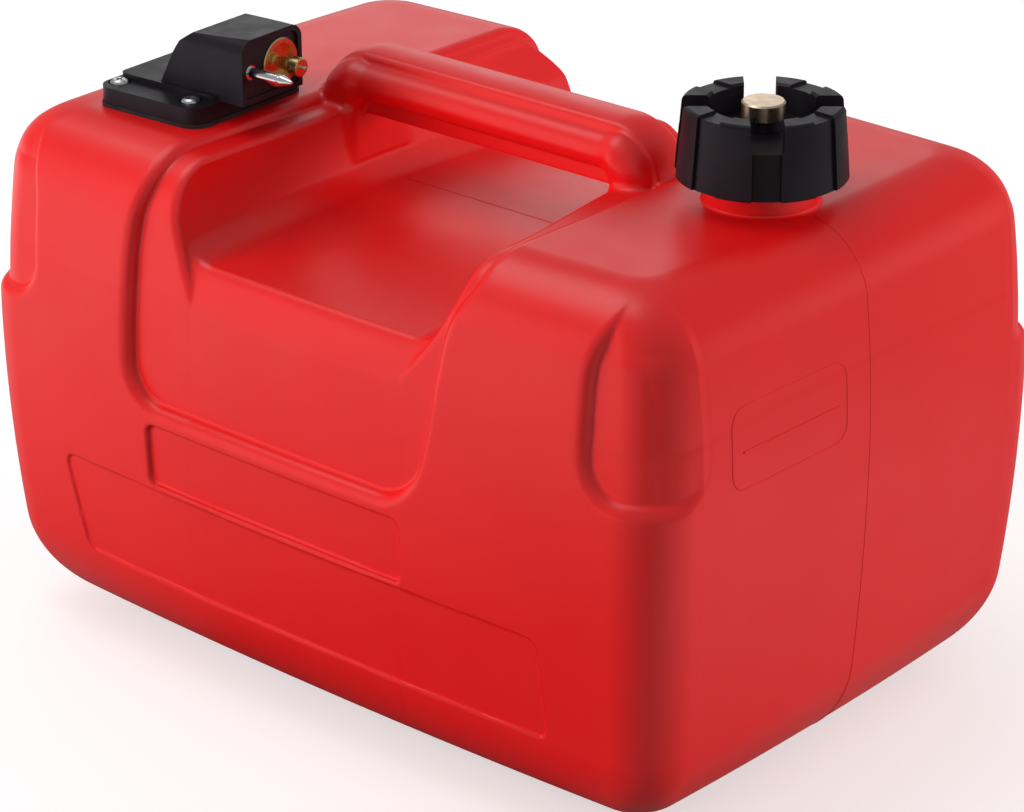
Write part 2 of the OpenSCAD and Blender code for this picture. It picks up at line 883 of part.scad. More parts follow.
module feed_hose() {
    low = deck_z + fitting_t + 0.5;
    color(rubber)
        place_stem() {
            difference() {
                bar_x(hose_r, bend_x - eps, tail_x + hose_grip);
                bar_x(tail_r + fit_gap, bend_x - 1, tail_x + hose_grip + 1);
            }
            translate([bend_x, 0, -hose_bend])
                rotate([90, 0, 0])
                    rotate_extrude(angle = 90, start = 90)
                        translate([hose_bend, 0])
                            difference() {
                                circle(r = hose_r);
                                circle(r = tail_r + fit_gap);
                            }
            translate([fitting_x, 0, low - axis_z])
                ring(hose_r, tail_r + fit_gap, axis_z - hose_bend - low + eps);
        }
}

module hose_clips() {
    color(steel)
        place_stem() {
            translate([tail_x + hose_grip - clip_w - 1, 0, 0])
                rotate([0, 90, 0])
                    ring(hose_r + fit_gap + clip_t, hose_r + fit_gap, clip_w);
            translate([fitting_x, 0, deck_z + fitting_t + 1.5 - axis_z])
                ring(hose_r + fit_gap + clip_t, hose_r + fit_gap, clip_w);
        }
}

module place_fitting() {
    place_outlet()
        translate([fitting_x, stem_y, 0])
            children();
}

module pickup_fitting() {
    low = deck_z - shank_l;
    color(black)
        place_fitting()
            rotate_extrude()
                polygon([[way_r * 2, low - barb_l], [tail_r - 0.5, low - barb_l],
                         [tail_r, low - barb_l + 1.5], [tail_r, low], [shank_r, low],
                         [shank_r, deck_z], [fitting_r, deck_z], [fitting_r, deck_z + fitting_t],
                         [tail_r, deck_z + fitting_t], [tail_r, axis_z - hose_bend - 1.5],
                         [tail_r - 0.5, axis_z - hose_bend], [way_r * 2, axis_z - hose_bend]]);
}

module fitting_seal() {
    color(rubber)
        place_fitting()
            translate([0, 0, deck_z - wall - 1])
                ring(deck_hole_r - fit_gap, shank_r + fit_gap, wall + 1);
}

module pickup_tube() {
    color(clear_white)
        place_fitting()
            translate([0, 0, strainer_top + seat_h])
                ring(tube_r, tail_r + fit_gap, tube_top - strainer_top - seat_h);
}

module tube_clip() {
    color(steel)
        place_fitting()
            translate([0, 0, tube_top - clip_w - 1.5])
                ring(tube_r + fit_gap + clip_t, tube_r + fit_gap, clip_w);
}

module strainer_body() {
    color(clear_white)
        place_fitting() {
            translate([0, 0, strainer_z])
                cylinder(r = strainer_r, h = strainer_t);
            translate([0, 0, strainer_top - strainer_t])
                ring(strainer_r, tail_r, strainer_t + seat_h);
            translate([0, 0, strainer_top])
                ring(tube_r + fit_gap + 1.4, tube_r + fit_gap, socket_l);
            for (a = [45:90:315])
                rotate([0, 0, a])
                    translate([strainer_r - 2.4, 0, strainer_z + strainer_t - eps])
                        cylinder(r = 0.9, h = strainer_h - 2 * strainer_t + 2 * eps);
        }
}

module strainer_screen() {
    color(steel)
        place_fitting()
            translate([0, 0, strainer_z + strainer_t])
                difference() {
                    ring(strainer_r - 0.6, strainer_r - 1, strainer_h - 2 * strainer_t);
                    for (z = [1.4:1.8:strainer_h - 2 * strainer_t - 1], a = [0:30:330])
                        rotate([0, 90, a])
                            translate([-z, 0, strainer_r - 2])
                                cylinder(r = 0.5, h = 3, $fn = 6);
                }
}

// ---- filler cap ------------------------------------------------------------------------

module filler_cap() {
    inner = cap_bore + ring_t;
    lean = (cap_r - rim_r) / cap_h;
    color(black)
        place_neck()
            difference() {
                union() {
                    rotate_extrude()
                        polygon([[bush_r + fit_gap, ceiling_z], [cap_bore, ceiling_z], [cap_bore, ring_z],
                                 [inner, ring_z], [inner, ceiling_z],
                                 [cap_r - skirt_t - lean * (ceiling_z - skirt_z), ceiling_z],
                                 [cap_r - skirt_t, skirt_z], [cap_r - 0.4, skirt_z],
                                 [cap_r, skirt_z + 0.6], [rim_r + 0.1, rim_z - 1.4],
                                 [rim_r - 0.4, rim_z - 0.4], [rim_r - 1.4, rim_z], [bowl_r + 1, rim_z],
                                 [bowl_r, rim_z - 0.8], [bowl_r - 0.7, floor_z], [boss_r + 0.4, floor_z],
                                 [boss_r, boss_z - 0.5], [boss_r - 0.5, boss_z], [bush_r + fit_gap, boss_z]]);
                    for (a = [0:30:330])
                        rotate([0, 0, a + notch_turn])
                            translate([inner - 0.5, -0.8, ring_z + 1])
                                cube([cap_r - skirt_t - inner + 0.7, 1.6, ceiling_z - ring_z - 0.5]);
                    thread(cap_bore + 0.3, neck_r + run_gap, cap_thread_z(), cap_thread_turn,
                           cap_thread_turns);
                }
                for (k = [0:3])
                    rotate([0, 0, notch_turn + 90 * k]) {
                        translate([bowl_r - 6, -notch_w / 2, floor_z])
                            cube([far, notch_w, far]);
                        intersection() {
                            translate([0, -groove_w / 2, skirt_z - 1])
                                cube([far, groove_w, cap_h]);
                            skirt_shell(groove_d, skirt_z - 1, floor_z + 1);
                        }
                        rotate([0, 0, 45 - dent_turn / 2])
                            intersection() {
                                skirt_shell(dent_d, skirt_z - 1, rim_z + 1);
                                rotate_extrude(angle = dent_turn)
                                    square([far, rim_z + 1]);
                            }
                        rotate([0, 0, 45])
                            translate([bowl_r - 3, -5, rim_z - 1])
                                cube([far, 10, 3]);
                    }
            }
}

// Everything outside the surface that lies d inside the skirt, from z0 to z1
module skirt_shell(d, z0, z1) {
    lean = (cap_r - rim_r) / cap_h;
    rotate_extrude()
        polygon([[cap_r - d - lean * (z0 - skirt_z), z0], [cap_r + 9, z0], [cap_r + 9, z1],
                 [cap_r - d - lean * (z1 - skirt_z), z1]]);
}

// Where the cap's thread starts, so that it hangs just under the neck's
function cap_thread_z() = thread_z - thread_lag + neck_pitch * (1 + cap_thread_turn / 360);

module cap_gasket() {
    color(rubber)
        place_neck()
            translate([0, 0, lip_z])
                ring(neck_r + 0.8, neck_bore - 1.5, gasket_t);
}

module cap_insert() {
    hub = bush_flange_r + 2.5;
    color(clear_white)
        place_neck()
            difference() {
                union() {
                    translate([0, 0, ceiling_z - 4])
                        ring(neck_bore - 3, vent_r + 1, 1.6);
                    translate([0, 0, ceiling_z - 2.5])
                        ring(hub + 2, hub, 2.5);
                }
                for (a = [0, 90])
                    rotate([0, 0, a])
                        translate([-hub - 3, -1.5, ceiling_z - 1.2])
                            cube([2 * hub + 6, 3, 2]);
            }
}

module vent_bush() {
    color(brass)
        place_neck()
            rotate_extrude()
                polygon([[vent_r + fit_gap, ceiling_z - bush_flange_t], [bush_flange_r, ceiling_z - bush_flange_t],
                         [bush_flange_r, ceiling_z], [bush_r, ceiling_z], [bush_r, boss_z],
                         [bush_r - 0.9, boss_z], [bush_r - 0.9, boss_z - 1.2],
                         [vent_r + fit_gap, boss_z - 1.2]]);
}

module vent_screw() {
    low = ceiling_z - bush_flange_t - 0.6;
    knob_z = boss_z + knob_gap;
    top = knob_z + knob_h;
    color(brass)
        place_neck()
            difference() {
                rotate_extrude()
                    polygon([[0, low], [vent_r - 0.6, low], [vent_r, low + 0.8], [vent_r, knob_z],
                             [knob_r - 0.5, knob_z], [knob_r, knob_z + 0.5], [knob_r, top - 0.6],
                             [knob_r - 0.6, top], [0, top]]);
                translate([vent_r - 0.6, -0.6, low - 1])
                    cube([2, 1.2, boss_z - low - 1]);
            }
}

module vent_o_ring() {
    color(rubber)
        place_neck()
            translate([0, 0, boss_z - 1.1])
                ring(bush_r - 1.3, vent_r + fit_gap, 1.1 + knob_gap);
}

tank_shell();
carry_handle();
filler_neck();
outlet_inserts();
outlet_gasket();
outlet_housing();
housing_screws();
connector_flange();
flange_nut();
fuel_stem();
valve_pin();
valve_seal();
valve_spring();
guide_pin();
guide_pin_nut();
feed_hose();
hose_clips();
pickup_fitting();
fitting_seal();
pickup_tube();
tube_clip();
strainer_body();
strainer_screen();
filler_cap();
cap_gasket();
cap_insert();
vent_bush();
vent_screw();
vent_o_ring();
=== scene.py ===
"""The looks of a portable outboard fuel tank: skin, finishes, floor, light and camera.

Blender works in metres. The forms of the moulded pieces are written in millimetres, as distance
fields that are negative inside, and MM turns them into metres. The tank is 350 mm long in x and
245 mm wide in y. Its outlet is at -x, its filler at +x, and its front at -y.
"""

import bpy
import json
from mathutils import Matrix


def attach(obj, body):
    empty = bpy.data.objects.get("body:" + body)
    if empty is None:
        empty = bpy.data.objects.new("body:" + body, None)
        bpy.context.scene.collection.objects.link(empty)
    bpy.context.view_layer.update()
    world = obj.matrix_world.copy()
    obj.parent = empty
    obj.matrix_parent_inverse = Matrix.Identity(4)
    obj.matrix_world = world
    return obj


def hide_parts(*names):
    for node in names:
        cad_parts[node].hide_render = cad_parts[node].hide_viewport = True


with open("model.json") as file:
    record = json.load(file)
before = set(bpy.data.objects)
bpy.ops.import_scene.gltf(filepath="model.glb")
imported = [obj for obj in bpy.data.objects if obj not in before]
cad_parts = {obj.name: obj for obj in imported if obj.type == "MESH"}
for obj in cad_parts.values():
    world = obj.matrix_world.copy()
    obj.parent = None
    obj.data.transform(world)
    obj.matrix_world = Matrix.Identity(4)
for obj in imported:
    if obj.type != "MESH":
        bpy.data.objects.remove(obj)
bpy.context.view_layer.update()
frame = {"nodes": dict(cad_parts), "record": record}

import json
import math

import bpy
import numpy as np
from mathutils import Euler, Vector

MM = 0.001

# ---- sizes of the tank, in mm --------------------------------------------------------------

HALF_L, HALF_W = 175.0, 122.5              # at the waist
DECK_Z, WAIST_Z, SHELF_Z = 213.0, 128.0, 207.5
BASE_R, DECK_R = 41.0, 25.0                # rounding into the base and the deck
CORNER_R, CORNER_MIN = 20.0, 5.0           # upright corners, where the sides are full and least
CORNER_LOSS = 0.3                          # share of the taper that the corners lose
BASE_TAPER, DECK_TAPER = 8.7, 7.4          # how far the sides draw in from the waist
FACE_CROWN, END_CROWN = 5.3, 3.6           # bulge of the long faces and of the ends

# The sunk corners above the waist
LEDGE_Z, LEDGE_D, LEDGE_R = 142.5, 4.0, 14.0
LEDGE_X = 140.0                            # their crease on the long face
LEDGE_LEAN, LEAN_LOW, LEAN_HIGH = 9.3, 180.0, 211.0     # the crease leans out near the deck
LEDGE_Y, LEDGE_RAMP = 93.0, 14.0           # on the end face they fade in over the ramp
LEDGE_TOP, LEDGE_FADE = 209.0, 14.0        # and fade out towards the deck
LEDGE_BRIM, LEDGE_FOOT = 5.0, 0.8

# The upper panel, whose edges are (height, distance from the middle)
PANEL_Z, PANEL_D, PANEL_R = 115.0, 5.5, 16.0
PANEL_BRIM, PANEL_FOOT = 5.0, 1.2
PANEL_LEFT = [(60, -85.5), (110, -85.2), (141, -84.5), (175, -82.6), (186, -81), (195, -79),
              (202, -77.5), (215, -77.5)]
PANEL_RIGHT = [(60, 50), (100, 57), (120, 61), (135, 65.5), (150, 69), (165, 71), (184, 74.3),
               (193, 77.8), (202, 83), (215, 84)]

# The recess for a label, as x and z from and to
LABEL_X, LABEL_Z, LABEL_R = (-75.7, 55.7), (82, 107.5), 4
LABEL_D, LABEL_BRIM, LABEL_FOOT = 2.2, 1.4, 0.8

# The lower panel: its sides' x at its foot, and what that gains up to its top
LOW_Z, LOW_R = (40, 80), 5
LOW_LEFT, LOW_LEFT_LEAN = -117, -8.6
LOW_RIGHT, LOW_RIGHT_LEAN = 122, -3.4
LOW_D, LOW_BRIM, LOW_FOOT = 1.0, 0.8, 0.5

# The hand hollow
SADDLE_Z, SADDLE_FALL = 179.5, 4.0         # its floor in the middle, and its fall at y 100
SADDLE_LIP = 17.0                          # rounding of its floor into the front and back
SADDLE_SET = 12.4                          # its walls' curve starts this far below its floor
SADDLE_FOOT, SADDLE_FOOT_LOSS = 56.0, 5.5  # half width at the start of the curve, and its loss
SADDLE_BRIM, SADDLE_FLARE = 66.3, 5.2      # half width at the shelf, and its gain
SADDLE_SHIFT, SHIFT_BACK = 5.1, 6.0        # both walls' way to +x at the shelf, less at the foot
FLARE_END = 0.75                           # share of the half width where the flare is full
WALL_POWER, SHIFT_POWER, FALL_POWER = 1.8, 2.5, 2.2     # of the curves above
SADDLE_EDGE, SADDLE_FILLET = 3.6, 8.0      # brim of the walls, and their fillet to the floor
ROLL_Z, ROLL_H, ROLL_OUT = 190.0, 17.0, 10.0            # roll-out of one wall at the back

# The grip, its legs and the raised spine along its top
GRIP_X, GRIP_HALF, GRIP_W = -1.0, 81.5, 17.0
GRIP_TOP, GRIP_LOW = 226.8, 212.8
GRIP_END_R, GRIP_SIDE_R, GRIP_LOW_R = 20.0, 8.0, 7.0
LEG_X, LEG_R, LEG_FOOT, LEG_FILLET = 64.5, 4.0, 190.0, 6.0
SPINE_TOP, SPINE_W, SPINE_CROWN, SPINE_LOW = 231.4, 9.5, 1.6, 206.0
SPINE_PAST, SPINE_END_R, SPINE_SIDE_R = 2.5, 23.0, 2.2
SPINE_FILLET, GRIP_FILLET = 1.2, 4.0

# The neck: the skin has its foot and a closed pit, and a turned piece stands on them
NECK_X, NECK_R, NECK_BORE, LIP_Z = 122.9, 20.9, 17.5, 235.0
COLLAR_LOW, COLLAR_Z, COLLAR_FILLET = 200.0, 217.0, 1.5
PIT_Z = 190.0
NECK_FOOT, NECK_SUNK_Z, NECK_SINK = 211.0, 214.4, 0.2   # the turned piece's foot in the skin
NECK_PROUD = 0.04                                       # its wall stands out over the skin
NECK_WALL_Z, NECK_RING, NECK_RINGS = 214.5, 0.3, 67     # the wall's first ring, gap and count
LIP_EDGE, BORE_CHAMFER = [(0.3, 0.35), (0.9, 0.0)], 0.6 # drawn in and down at the lip
NECK_STEPS = 144                                        # round the axis
THREAD_Z, THREAD_PITCH, THREAD_TURNS, THREAD_D = 224.45, 5.0, 1.75, 1.3
THREAD_HALF, THREAD_FLANK, THREAD_FADE = 1.05, 0.5, 8   # half width, flank, and ends' fade

# The parting line, down both ends and across the hollow's floor
SEAM_W, SEAM_H, SEAM_HOLLOW_H = 0.7, 0.22, 0.2
SEAM_END = [(160, 211), (168, 203), (171, 190), (175, 128), (172, 60), (165, 20), (150, 4)]
SEAM_FILLER_X, SEAM_OUTLET_X = 147, 138                 # where it starts on the deck
SEAM_HOLLOW = [(-50, 0, 184), (0, 0, 182), (50, 0, 184)]

# The fill line on the end face and its frame
FRAME_Y, FRAME_Z, FRAME_R, FRAME_W, FRAME_H = (-78, -14), (139, 170), 7, 0.8, 0.28
FILL_Y, FILL_Z, FILL_W, FILL_H = (-72, -18), 153, 1.0, 0.45

SKIN_BOX = (-176, -124, 0), (176, 124, 233)
SKIN_STEP, SKIN_QUICK_STEP = 1.0, 2.4


# ---- distance fields -----------------------------------------------------------------------

def round_and(a, b, r):
    """Where both forms are, with their common edge rounded to r."""
    return np.minimum(-r, np.maximum(a, b)) + np.hypot(np.maximum(a + r, 0), np.maximum(b + r, 0))


def round_or(a, b, r):
    """Where either form is, with a fillet of r between them."""
    return -round_and(-a, -b, r)


def edge(r, d):
    """How far a rounded edge of radius r draws in at distance d from the flat it ends in."""
    return np.where(d < r, r - np.sqrt(np.maximum(r * r - (r - d) ** 2, 0)), 0)


def smooth(t):
    """0 below 0, 1 above 1, and an even S between them."""
    t = np.clip(t, 0, 1)
    return t * t * (3 - 2 * t)


def curve(points, t, count=400, width=31):
    """A smooth line through (t, value) points: count samples, averaged over width of them."""
    knots = np.array(points, float)
    fine = np.linspace(knots[0, 0], knots[-1, 0], count)
    value = np.interp(fine, knots[:, 0], knots[:, 1])
    weight = np.hanning(width + 2)[1:-1]
    value = np.convolve(np.pad(value, width // 2, "edge"), weight / weight.sum(), "valid")
    return np.interp(t, fine, value)


def sink(form, region, depth, brim, foot):
    """Moves the surface of form in by depth inside region, with a rounded brim and foot."""
    return round_or(form + depth, round_and(form, -region, brim), np.minimum(foot, 0.9 * depth))


def blank(x, y, z):
    """The plain tank: bulged sides, rounded base, deck and corners. The limits of 1.1 to 1.3 only
    keep the form tame far outside it."""
    ax, ay = np.abs(x), np.abs(y)
    below = np.clip((WAIST_Z - z) / WAIST_Z, 0, 1.2)
    above = np.clip((z - WAIST_Z) / (DECK_Z - WAIST_Z), 0, 1.3)
    taper = BASE_TAPER * below ** 2 + DECK_TAPER * above ** 2
    a, b = HALF_L - taper, HALF_W - taper
    rounding = edge(BASE_R, z) + edge(DECK_R, DECK_Z - z)
    r = np.maximum(CORNER_R - CORNER_LOSS * (taper + rounding), CORNER_MIN) + rounding
    u = ax + END_CROWN * np.minimum(ay / b, 1.1) ** 2 - (a - r)
    v = ay + FACE_CROWN * np.minimum(ax / a, 1.1) ** 2 - (b - r)
    wall = np.hypot(np.maximum(u, 0), np.maximum(v, 0)) + np.minimum(np.maximum(u, v), 0) - r
    return round_and(round_and(wall, z - DECK_Z, DECK_R), -z, BASE_R)


def corner_recess(form, x, y, z):
    """Sunk corners with a sharp crease on the long face, and a ramp up to the end face."""
    lean = np.clip((z - LEAN_LOW) / (LEAN_HIGH - LEAN_LOW), 0, 1) ** 2
    crease = LEDGE_X + LEDGE_LEAN * lean
    inward = np.abs(y) - LEDGE_Y
    region = round_and(np.maximum(crease - np.abs(x), -inward), LEDGE_Z - z, LEDGE_R)
    ramp = np.clip(inward / LEDGE_RAMP, 0, 1)
    fade = np.clip((LEDGE_TOP - z) / LEDGE_FADE, 0, 1)
    return sink(form, region, LEDGE_D * ramp * fade, LEDGE_BRIM, LEDGE_FOOT)


def upper_panel(form, x, z):
    """The wide sunk panel from the hollow down to the middle of the long face."""
    left, right = curve(PANEL_LEFT, z), curve(PANEL_RIGHT, z)
    region = round_and(np.maximum(left - x, x - right), PANEL_Z - z, PANEL_R)
    return sink(form, region, PANEL_D, PANEL_BRIM, PANEL_FOOT)


def rectangle(x, z, x_span, z_span, r):
    """An upright rectangle with round corners, seen along y."""
    across = round_and(x_span[0] - x, x - x_span[1], r)
    upright = round_and(z_span[0] - z, z - z_span[1], r)
    return round_and(across, upright, r)


def label_recess(form, x, z):
    region = rectangle(x, z, LABEL_X, LABEL_Z, LABEL_R)
    return sink(form, region, LABEL_D, LABEL_BRIM, LABEL_FOOT)


def lower_panel(form, x, z):
    t = (z - LOW_Z[0]) / (LOW_Z[1] - LOW_Z[0])
    sides = LOW_LEFT + LOW_LEFT_LEAN * t, LOW_RIGHT + LOW_RIGHT_LEAN * t
    return sink(form, rectangle(x, z, sides, LOW_Z, LOW_R), LOW_D, LOW_BRIM, LOW_FOOT)


def hand_hollow(form, x, y, z):
    """The hollow under the grip, through to the front and the back. Its walls curve out from foot
    to brim, and flare towards the front and back."""
    t = np.abs(y) / HALF_W
    flare = smooth(t / FLARE_END)
    floor = SADDLE_Z - SADDLE_FALL * (np.abs(y) / 100) ** FALL_POWER
    base = floor - SADDLE_SET
    foot = SADDLE_FOOT - SADDLE_FOOT_LOSS * t
    spread = SADDLE_BRIM + SADDLE_FLARE * flare - foot
    rise = SHELF_Z - base
    h = 1 - np.clip((z - base) / rise, 0, 1)
    half = foot + spread * (1 - h ** WALL_POWER)
    lean = WALL_POWER * spread / rise * h ** (WALL_POWER - 1)
    roll = np.clip((z - ROLL_Z) / ROLL_H, 0, 1)          # the wall by the outlet, at the back
    rolled = ROLL_OUT * flare * ((x < 0) & (y > 0))
    half = half + rolled * smooth(roll)
    lean = lean + rolled * 6 * roll * (1 - roll) / ROLL_H
    middle = flare * (SADDLE_SHIFT - SHIFT_BACK * h ** SHIFT_POWER)
    beside = (np.abs(x - middle) - half) / np.sqrt(1 + lean ** 2)
    walls = round_and(form, -beside, SADDLE_EDGE)
    bottom = round_and(form, z - floor, SADDLE_LIP)
    # Outside the hollow both are the form itself and a fillet would swell it, so it fades out
    return round_or(walls, bottom, np.clip(-0.9 * form - 0.5, 0.01, SADDLE_FILLET))


def handle(form, x, y, z):
    """The grip bar with a leg at each end, and the raised spine along it."""
    ax, ay = np.abs(x), np.abs(y)
    end = np.abs(x - GRIP_X) - GRIP_HALF
    solid = round_and(round_and(end, z - GRIP_TOP, GRIP_END_R), ay - GRIP_W, GRIP_SIDE_R)
    bar = round_and(solid, GRIP_LOW - z, GRIP_LOW_R)
    leg = np.maximum(round_and(solid, LEG_X - ax, LEG_R), LEG_FOOT - z)
    grip = round_or(bar, leg, LEG_FILLET)
    crown = SPINE_TOP - SPINE_CROWN * (y / SPINE_W) ** 2
    spine = round_and(end - SPINE_PAST, z - crown, SPINE_END_R)
    spine = round_and(spine, ay - SPINE_W, SPINE_SIDE_R)
    spine = np.maximum(spine, SPINE_LOW - z)
    return round_or(form, round_or(grip, spine, SPINE_FILLET), GRIP_FILLET)


def tank(x, y, z):
    """The whole outer skin with the neck's foot and the pit under its bore."""
    form = corner_recess(blank(x, y, z), x, y, z)
    form = upper_panel(form, x, z)
    form = lower_panel(label_recess(form, x, z), x, z)
    form = handle(hand_hollow(form, x, y, z), x, y, z)
    rho = np.hypot(x - NECK_X, y)
    collar = np.maximum(rho - NECK_R, np.maximum(COLLAR_LOW - z, z - COLLAR_Z))
    form = round_or(form, collar, COLLAR_FILLET)
    return np.maximum(form, -np.maximum(rho - NECK_BORE, PIT_Z - z))


# ---- meshes --------------------------------------------------------------------------------

CELL_CORNERS = [(i, j, k) for i in (0, 1) for j in (0, 1) for k in (0, 1)]


def gradient(field, points, h=0.15):
    """Slope of the field at the points, from four neighbours."""
    slope = np.zeros_like(points)
    for k in ((1, -1, -1), (-1, -1, 1), (-1, 1, -1), (1, 1, 1)):
        moved = points + np.array(k) * h
        slope += np.outer(field(*moved.T), k)
    return slope / (4 * h)


def unit(vectors):
    return vectors / np.maximum(np.linalg.norm(vectors, axis=1), 1e-9)[:, None]


def settle(field, points, rounds, longest=math.inf):
    """The points moved onto the field's zero surface, by longest at most in each round."""
    for _ in range(rounds):
        slope = gradient(field, points)
        length2 = np.maximum((slope ** 2).sum(1), 0.05)
        move = -(field(*points.T) / length2)[:, None] * slope
        size = np.maximum(np.linalg.norm(move, axis=1), 1e-9)
        points = points + move * np.minimum(1, longest / size)[:, None]
    return points


def sample(field, axes, block=4):
    """The field on a grid, worked out point by point only in blocks near its surface."""
    step = axes[0][1] - axes[0][0]
    to_middle = step * (block - 1) / 2
    counts = [-(-len(axis) // block) for axis in axes]
    starts = [axis[0] + step * block * np.arange(n) for axis, n in zip(axes, counts)]
    middle = np.stack(np.meshgrid(*starts, indexing="ij"), -1).reshape(-1, 3) + to_middle
    rough = field(*middle.T)
    blocks = np.repeat(rough[:, None], block ** 3, 1).astype(np.float32)
    near = np.flatnonzero(np.abs(rough) < 1.6 * step * block)
    offsets = np.stack(np.meshgrid(*[np.arange(block)] * 3, indexing="ij"), -1).reshape(-1, 3)
    for some in np.array_split(near, 1 + len(near) // 4000):
        points = (middle[some] - to_middle)[:, None] + offsets * step
        blocks[some] = field(*points.reshape(-1, 3).T).reshape(len(some), -1)
    blocks = blocks.reshape(*counts, block, block, block).transpose(0, 3, 1, 4, 2, 5)
    grid = blocks.reshape([n * block for n in counts])
    return grid[tuple(slice(len(axis)) for axis in axes)]


def crossed_cells(inside):
    """The grid's cells that the surface passes through, and a grid with their numbers."""
    shape = [n - 1 for n in inside.shape]
    count = np.zeros(shape, np.int8)
    for corner in CELL_CORNERS:
        count += inside[tuple(slice(d, d + n) for d, n in zip(corner, shape))]
    mixed = (count > 0) & (count < 8)
    cells = np.argwhere(mixed)
    index = np.full(shape, -1, np.int64)
    index[mixed] = np.arange(len(cells))
    return cells, index


def crossings(values, cells):
    """Middle of the places where the surface crosses each cell's edges, in shares of a cell."""
    total, hits = np.zeros((len(cells), 3)), np.zeros(len(cells))
    for corner in CELL_CORNERS:
        for axis in range(3):
            if corner[axis]:
                continue
            other = np.array(corner)
            other[axis] = 1
            here = values[tuple((cells + corner).T)]
            there = values[tuple((cells + other).T)]
            cross = (here < 0) != (there < 0)
            total += cross[:, None] * np.array(corner)
            total[:, axis] += np.where(cross, here / np.where(cross, here - there, 1), 0)
            hits += cross
    return total / hits[:, None]


def crossing_quads(inside, index):
    """A quad over the four cells round each grid edge that the surface crosses, facing out."""
    quads = []
    for axis in range(3):
        u, v = (axis + 1) % 3, (axis + 2) % 3
        first = inside.take(range(inside.shape[axis] - 1), axis)
        second = inside.take(range(1, inside.shape[axis]), axis)
        edges = np.argwhere(first != second)
        for side in (u, v):
            edges = edges[(edges[:, side] > 0) & (edges[:, side] < index.shape[side])]
        du, dv = np.eye(3, dtype=int)[[u, v]]
        ring = np.stack([index[tuple((edges + d).T)] for d in (-du - dv, -dv, 0 * du, -du)], 1)
        solid_first = first[tuple(edges.T)]
        ring[~solid_first] = ring[~solid_first][:, ::-1]
        quads.append(ring)
    return np.concatenate(quads)


def surface_net(field, low, high, step):
    """Points, quads and normals of the field's zero surface."""
    axes = [np.arange(a - step, b + 2 * step, step) for a, b in zip(low, high)]
    values = sample(field, axes)
    cells, index = crossed_cells(values < 0)
    origin = np.array([axis[0] for axis in axes])
    points = origin + (cells + crossings(values, cells)) * step
    points = settle(field, points, 3, 0.4 * step)
    normals = unit(gradient(field, points, 0.35 * step))
    return points, crossing_quads(values < 0, index), normals


def add_mesh(name, points, faces, normals=None):
    """A smooth mesh object from points in mm and faces with four corners."""
    mesh = bpy.data.meshes.new(name)
    mesh.from_pydata(np.asarray(points) * MM, [], np.asarray(faces).tolist())
    mesh.update()
    mesh.polygons.foreach_set("use_smooth", np.ones(len(mesh.polygons), bool))
    if normals is not None:
        mesh.normals_split_custom_set_from_vertices(normals.tolist())
    piece = bpy.data.objects.new(name, mesh)
    bpy.context.scene.collection.objects.link(piece)
    return piece


def dress(piece, material, body, slot, *nodes):
    """Gives a piece its material and its body, and hides the nodes that it replaces. Its slot is
    not used.
    """
    piece.data.materials.append(material)
    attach(piece, body)
    if nodes:
        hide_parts(*nodes)


# ---- materials -----------------------------------------------------------------------------

NOISE_LOW, NOISE_HIGH = 0.3, 0.7           # the part of a noise's range that is spread out


def add_node(tree, kind, links=(), **values):
    """A shader node with its properties or sockets set, and its inputs linked."""
    node = tree.nodes.new(kind)
    for key, value in values.items():
        if hasattr(node, key):
            setattr(node, key, value)
        else:
            node.inputs[key.replace("_", " ")].default_value = value
    for socket, source in dict(links).items():
        tree.links.new(source, node.inputs[socket])
    return node


def new_material(name, roughness, metallic=0.0, specular=0.5):
    """A material, its node tree, its shader and the place on the object."""
    material = bpy.data.materials.new(name)
    material.use_nodes = True
    tree = material.node_tree
    shader = tree.nodes["Principled BSDF"]
    shader.inputs["Roughness"].default_value = roughness
    shader.inputs["Metallic"].default_value = metallic
    shader.inputs["Specular IOR Level"].default_value = specular
    place = add_node(tree, "ShaderNodeTexCoord")
    return material, tree, shader, place.outputs["Object"]


def tint(tree, shader, place, scale, low, high):
    """A colour that drifts between two shades."""
    noise = add_node(tree, "ShaderNodeTexNoise", {"Vector": place}, Scale=scale, Detail=4)
    ramp = add_node(tree, "ShaderNodeValToRGB", {"Fac": noise.outputs["Fac"]})
    stops = ramp.color_ramp.elements
    stops[0].position = NOISE_LOW
    stops[1].position = NOISE_HIGH
    stops[0].color = (*low, 1)
    stops[1].color = (*high, 1)
    tree.links.new(ramp.outputs["Color"], shader.inputs["Base Color"])


def roughness_noise(tree, shader, place, scale, low, high):
    """A roughness that drifts between two values."""
    noise = add_node(tree, "ShaderNodeTexNoise", {"Vector": place}, Scale=scale, Detail=5)
    spread = add_node(tree, "ShaderNodeMapRange", {"Value": noise.outputs["Fac"]},
                      From_Min=NOISE_LOW, From_Max=NOISE_HIGH, To_Min=low, To_Max=high)
    tree.links.new(spread.outputs["Result"], shader.inputs["Roughness"])


def grain(tree, shader, place, scale, height, strength):
    """A fine bump, height mm high."""
    noise = add_node(tree, "ShaderNodeTexNoise", {"Vector": place}, Scale=scale, Detail=3)
    bump = add_node(tree, "ShaderNodeBump", {"Height": noise.outputs["Fac"]},
                    Strength=strength, Distance=height * MM)
    tree.links.new(bump.outputs["Normal"], shader.inputs["Normal"])


def red_polyethylene():
    material, *parts = new_material("red_polyethylene", 0.36, specular=0.68)
    tint(*parts, 9, (0.71, 0.002, 0.003), (0.76, 0.004, 0.005))
    roughness_noise(*parts, 40, 0.34, 0.41)
    grain(*parts, 900, 0.02, 0.35)
    return material


def black_plastic():
    material, *parts = new_material("black_plastic", 0.4, specular=0.2)
    tint(*parts, 60, (0.009, 0.007, 0.010), (0.014, 0.011, 0.015))
    roughness_noise(*parts, 120, 0.36, 0.46)
    grain(*parts, 1800, 0.02, 0.4)
    return material


